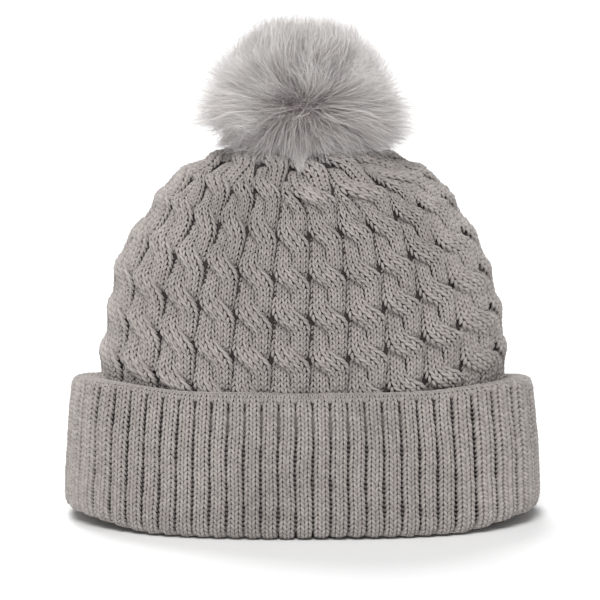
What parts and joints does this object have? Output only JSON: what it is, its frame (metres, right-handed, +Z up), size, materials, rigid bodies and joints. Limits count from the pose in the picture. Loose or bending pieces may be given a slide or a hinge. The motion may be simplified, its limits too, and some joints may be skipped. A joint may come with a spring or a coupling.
{
  "type": "pom pom beanie",
  "caption": "Soft knitted winter hat with a cable-knit crown, a turned-up ribbed cuff and a faux-fur pom that snaps on at the top.",
  "frame": {"origin": "centre of the oval that the hat stands on, at the level of the cuff's fold", "axes": "+Z up through the crown towards the pom, +X towards the wearer's left, -Y towards the front"},
  "size_m": [0.2348, 0.1318, 0.243],
  "materials": {
    "crown_knit": "matte",
    "rib_knit": "matte",
    "sewing_yarn": "matte",
    "sewing_thread": "matte",
    "label_ribbon": "satin",
    "snap_metal": "satin",
    "spring_wire": "satin",
    "felt": "matte",
    "fur_backing": "matte",
    "wadding": "matte",
    "faux_fur": "matte"
  },
  "bodies": {
    "hat": {"crown": "crown_knit", "inner_band": "rib_knit", "back_seam": "sewing_yarn", "crown_gather_thread": "sewing_yarn", "label_stitches": "sewing_thread", "snap_post": "snap_metal", "snap_stud": "snap_metal"},
    "cuff": {"cuff": "rib_knit"},
    "label": {"care_label": "label_ribbon"},
    "snap_spring": {"snap_spring": "spring_wire"},
    "pom_mount": {"snap_socket": "snap_metal", "pom_base": "felt", "snap_cap": "snap_metal"},
    "pom": {"pom_tie_thread": "sewing_thread", "pom_cover": "fur_backing", "pom_filling": "wadding", "pom_gather_thread": "sewing_thread", "pom_fur": "faux_fur"}
  },
  "joints": [
    {"name": "cuff_turn_down", "type": "slide", "parent": "hat", "child": "cuff", "axis": [0, 0, -1], "range_m": [0, 0.066]},
    {"name": "label_flip", "type": "hinge", "parent": "hat", "child": "label", "pos_m": [0, 0.04937, 0.06], "axis": [-1, 0, 0], "range_deg": [0, 75]},
    {"name": "pom_pull_off", "type": "slide", "parent": "hat", "child": "snap_spring", "axis": [0, 0, 1], "range_m": [0, 0.05]},
    {"name": "pom_spin", "type": "hinge", "parent": "snap_spring", "child": "pom_mount", "pos_m": [0, 0, 0.1869], "axis": [0, 0, 1], "continuous": true},
    {"name": "pom_nod", "type": "hinge", "parent": "pom_mount", "child": "pom", "pos_m": [0, 0, 0.1934], "axis": [1, 0, 0], "range_deg": [-5, 5], "stiffness_Nm_per_rad": 0.3}
  ]
}
